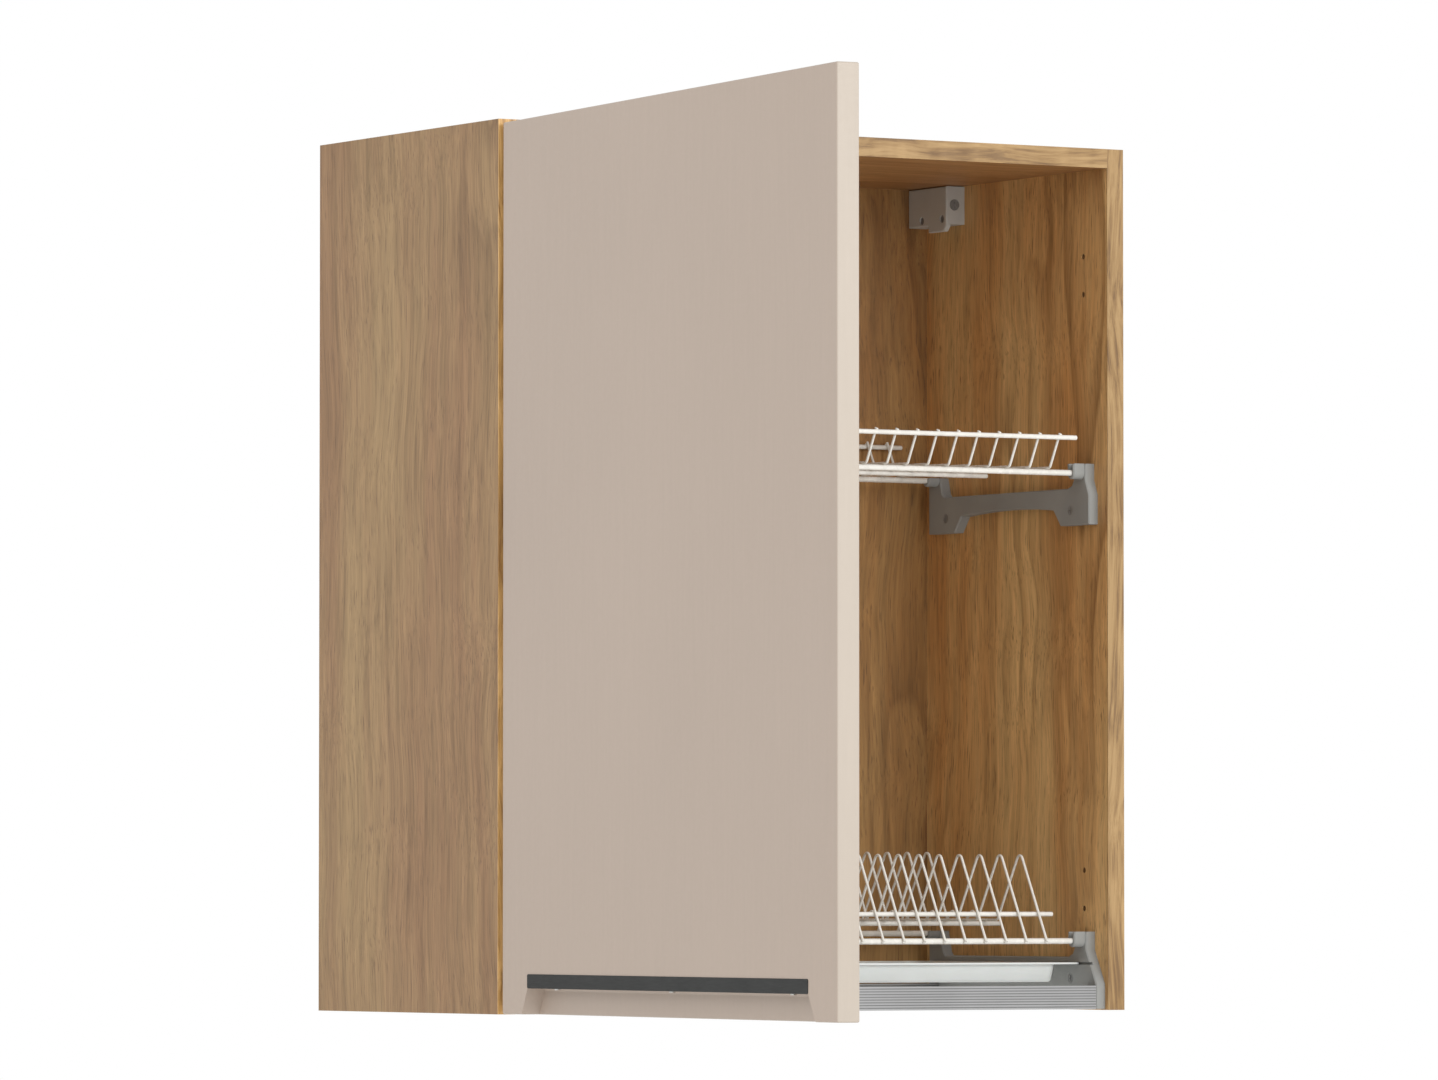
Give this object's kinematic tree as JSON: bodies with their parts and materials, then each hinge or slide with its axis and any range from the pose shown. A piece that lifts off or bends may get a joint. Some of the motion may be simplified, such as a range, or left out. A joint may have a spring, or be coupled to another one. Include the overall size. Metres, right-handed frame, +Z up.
{
  "type": "dish drying cabinet",
  "caption": "Wall-hung kitchen cabinet with an open bottom, a hinged door, a glass rack, a plate rack and a sliding drip tray.",
  "frame": {"origin": "on the wall plane, in the middle of the cabinet's width, level with its bottom edge", "axes": "+X to the cabinet's right as seen from the room, +Y into the wall, +Z up; the door rests open"},
  "size_m": [0.6483, 0.9054, 0.72],
  "materials": {
    "wood_decor_board": "satin decor foil with a vertical oak grain",
    "light_edge_band": "satin, lighter than the board",
    "greige_front": "matte lacquered board",
    "anthracite_handle": "matte anthracite",
    "grey_plastic": "fine moulded texture",
    "anodised_aluminium": "satin anodised, ribbed",
    "white_coated_wire": "glossy white coating",
    "white_tray_plastic": "smooth white plastic",
    "nickelled_steel": "nickel plated",
    "zinc_casting": "die-cast zinc",
    "beech_dowel": "fluted beech",
    "clear_rubber": "clear soft bumper"
  },
  "bodies": {
    "carcass": {"left_side_panel": "wood_decor_board", "right_side_panel": "wood_decor_board", "top_panel": "wood_decor_board", "back_panel": "wood_decor_board", "front_edge_bands": "light_edge_band", "cam_locks": "zinc_casting", "cam_bolts": "nickelled_steel", "dowels": "beech_dowel", "upper_left_bracket": "grey_plastic", "upper_right_bracket": "grey_plastic", "lower_left_bracket": "grey_plastic", "lower_right_bracket": "grey_plastic", "bracket_screws": "nickelled_steel", "front_bottom_rail": "anodised_aluminium", "rear_bottom_rail": "anodised_aluminium", "bottom_hinge_arm": "nickelled_steel", "bottom_hinge_plate": "nickelled_steel", "bottom_hinge_plate_screws": "nickelled_steel", "bottom_hinge_arm_screws": "nickelled_steel", "top_hinge_arm": "nickelled_steel", "top_hinge_plate": "nickelled_steel", "top_hinge_plate_screws": "nickelled_steel", "top_hinge_arm_screws": "nickelled_steel", "left_hanger_housing": "grey_plastic", "left_hanger_fixing_screws": "nickelled_steel", "right_hanger_housing": "grey_plastic", "right_hanger_fixing_screws": "nickelled_steel"},
    "door": {"door_panel": "greige_front", "handle_strip": "anthracite_handle", "handle_screws": "nickelled_steel", "door_bumpers": "clear_rubber", "bottom_hinge_cup": "nickelled_steel", "bottom_hinge_pin": "nickelled_steel", "bottom_hinge_cup_screws": "nickelled_steel", "top_hinge_cup": "nickelled_steel", "top_hinge_pin": "nickelled_steel", "top_hinge_cup_screws": "nickelled_steel"},
    "tray": {"drip_tray": "white_tray_plastic"},
    "plate_rack": {"plate_rack_front_rod": "white_coated_wire", "plate_rack_rear_rod": "white_coated_wire", "plate_rack_front_rail": "white_coated_wire", "plate_rack_inner_front_rod": "white_coated_wire", "plate_rack_inner_rear_rod": "white_coated_wire", "plate_rack_wires": "white_coated_wire"},
    "cup_rack": {"cup_rack_front_rod": "white_coated_wire", "cup_rack_rear_rod": "white_coated_wire", "cup_rack_middle_rod": "white_coated_wire", "cup_rack_front_rail": "white_coated_wire", "cup_rack_rear_rail": "white_coated_wire", "cup_rack_wires": "white_coated_wire"},
    "left_hook": {"left_hanger_hook": "nickelled_steel"},
    "right_hook": {"right_hanger_hook": "nickelled_steel"},
    "left_adjuster": {"left_hanger_adjusting_screw": "nickelled_steel"},
    "right_adjuster": {"right_hanger_adjusting_screw": "nickelled_steel"}
  },
  "joints": [
    {"name": "door_swing", "type": "hinge", "parent": "carcass", "child": "door", "pos_m": [-0.29135, -0.3168, 0.36], "axis": [0, 0, -1], "range_deg": [-94.75, 7.5]},
    {"name": "tray_slide", "type": "slide", "parent": "carcass", "child": "tray", "axis": [0, -1, 0], "range_m": [0, 0.25]},
    {"name": "plate_rack_lift", "type": "slide", "parent": "carcass", "child": "plate_rack", "axis": [0, 0, 1], "range_m": [0, 0.03]},
    {"name": "cup_rack_lift", "type": "slide", "parent": "carcass", "child": "cup_rack", "axis": [0, 0, 1], "range_m": [0, 0.03]},
    {"name": "left_hook_slide", "type": "slide", "parent": "carcass", "child": "left_hook", "axis": [0, -1, 0], "range_m": [0, 0.006]},
    {"name": "left_adjuster_turn", "type": "hinge", "parent": "carcass", "child": "left_adjuster", "pos_m": [-0.274, -0.0804, 0.6876], "axis": [0, 1, 0], "range_deg": [0, 2196]},
    {"name": "right_hook_slide", "type": "slide", "parent": "carcass", "child": "right_hook", "axis": [0, -1, 0], "range_m": [0, 0.006]},
    {"name": "right_adjuster_turn", "type": "hinge", "parent": "carcass", "child": "right_adjuster", "pos_m": [0.274, -0.0804, 0.6876], "axis": [0, 1, 0], "range_deg": [0, 2196]}
  ],
  "couplings": [
    {"joint": "left_adjuster_turn", "follows": "left_hook_slide", "rad_per_m": 6283.2},
    {"joint": "right_adjuster_turn", "follows": "right_hook_slide", "rad_per_m": 6283.2}
  ]
}
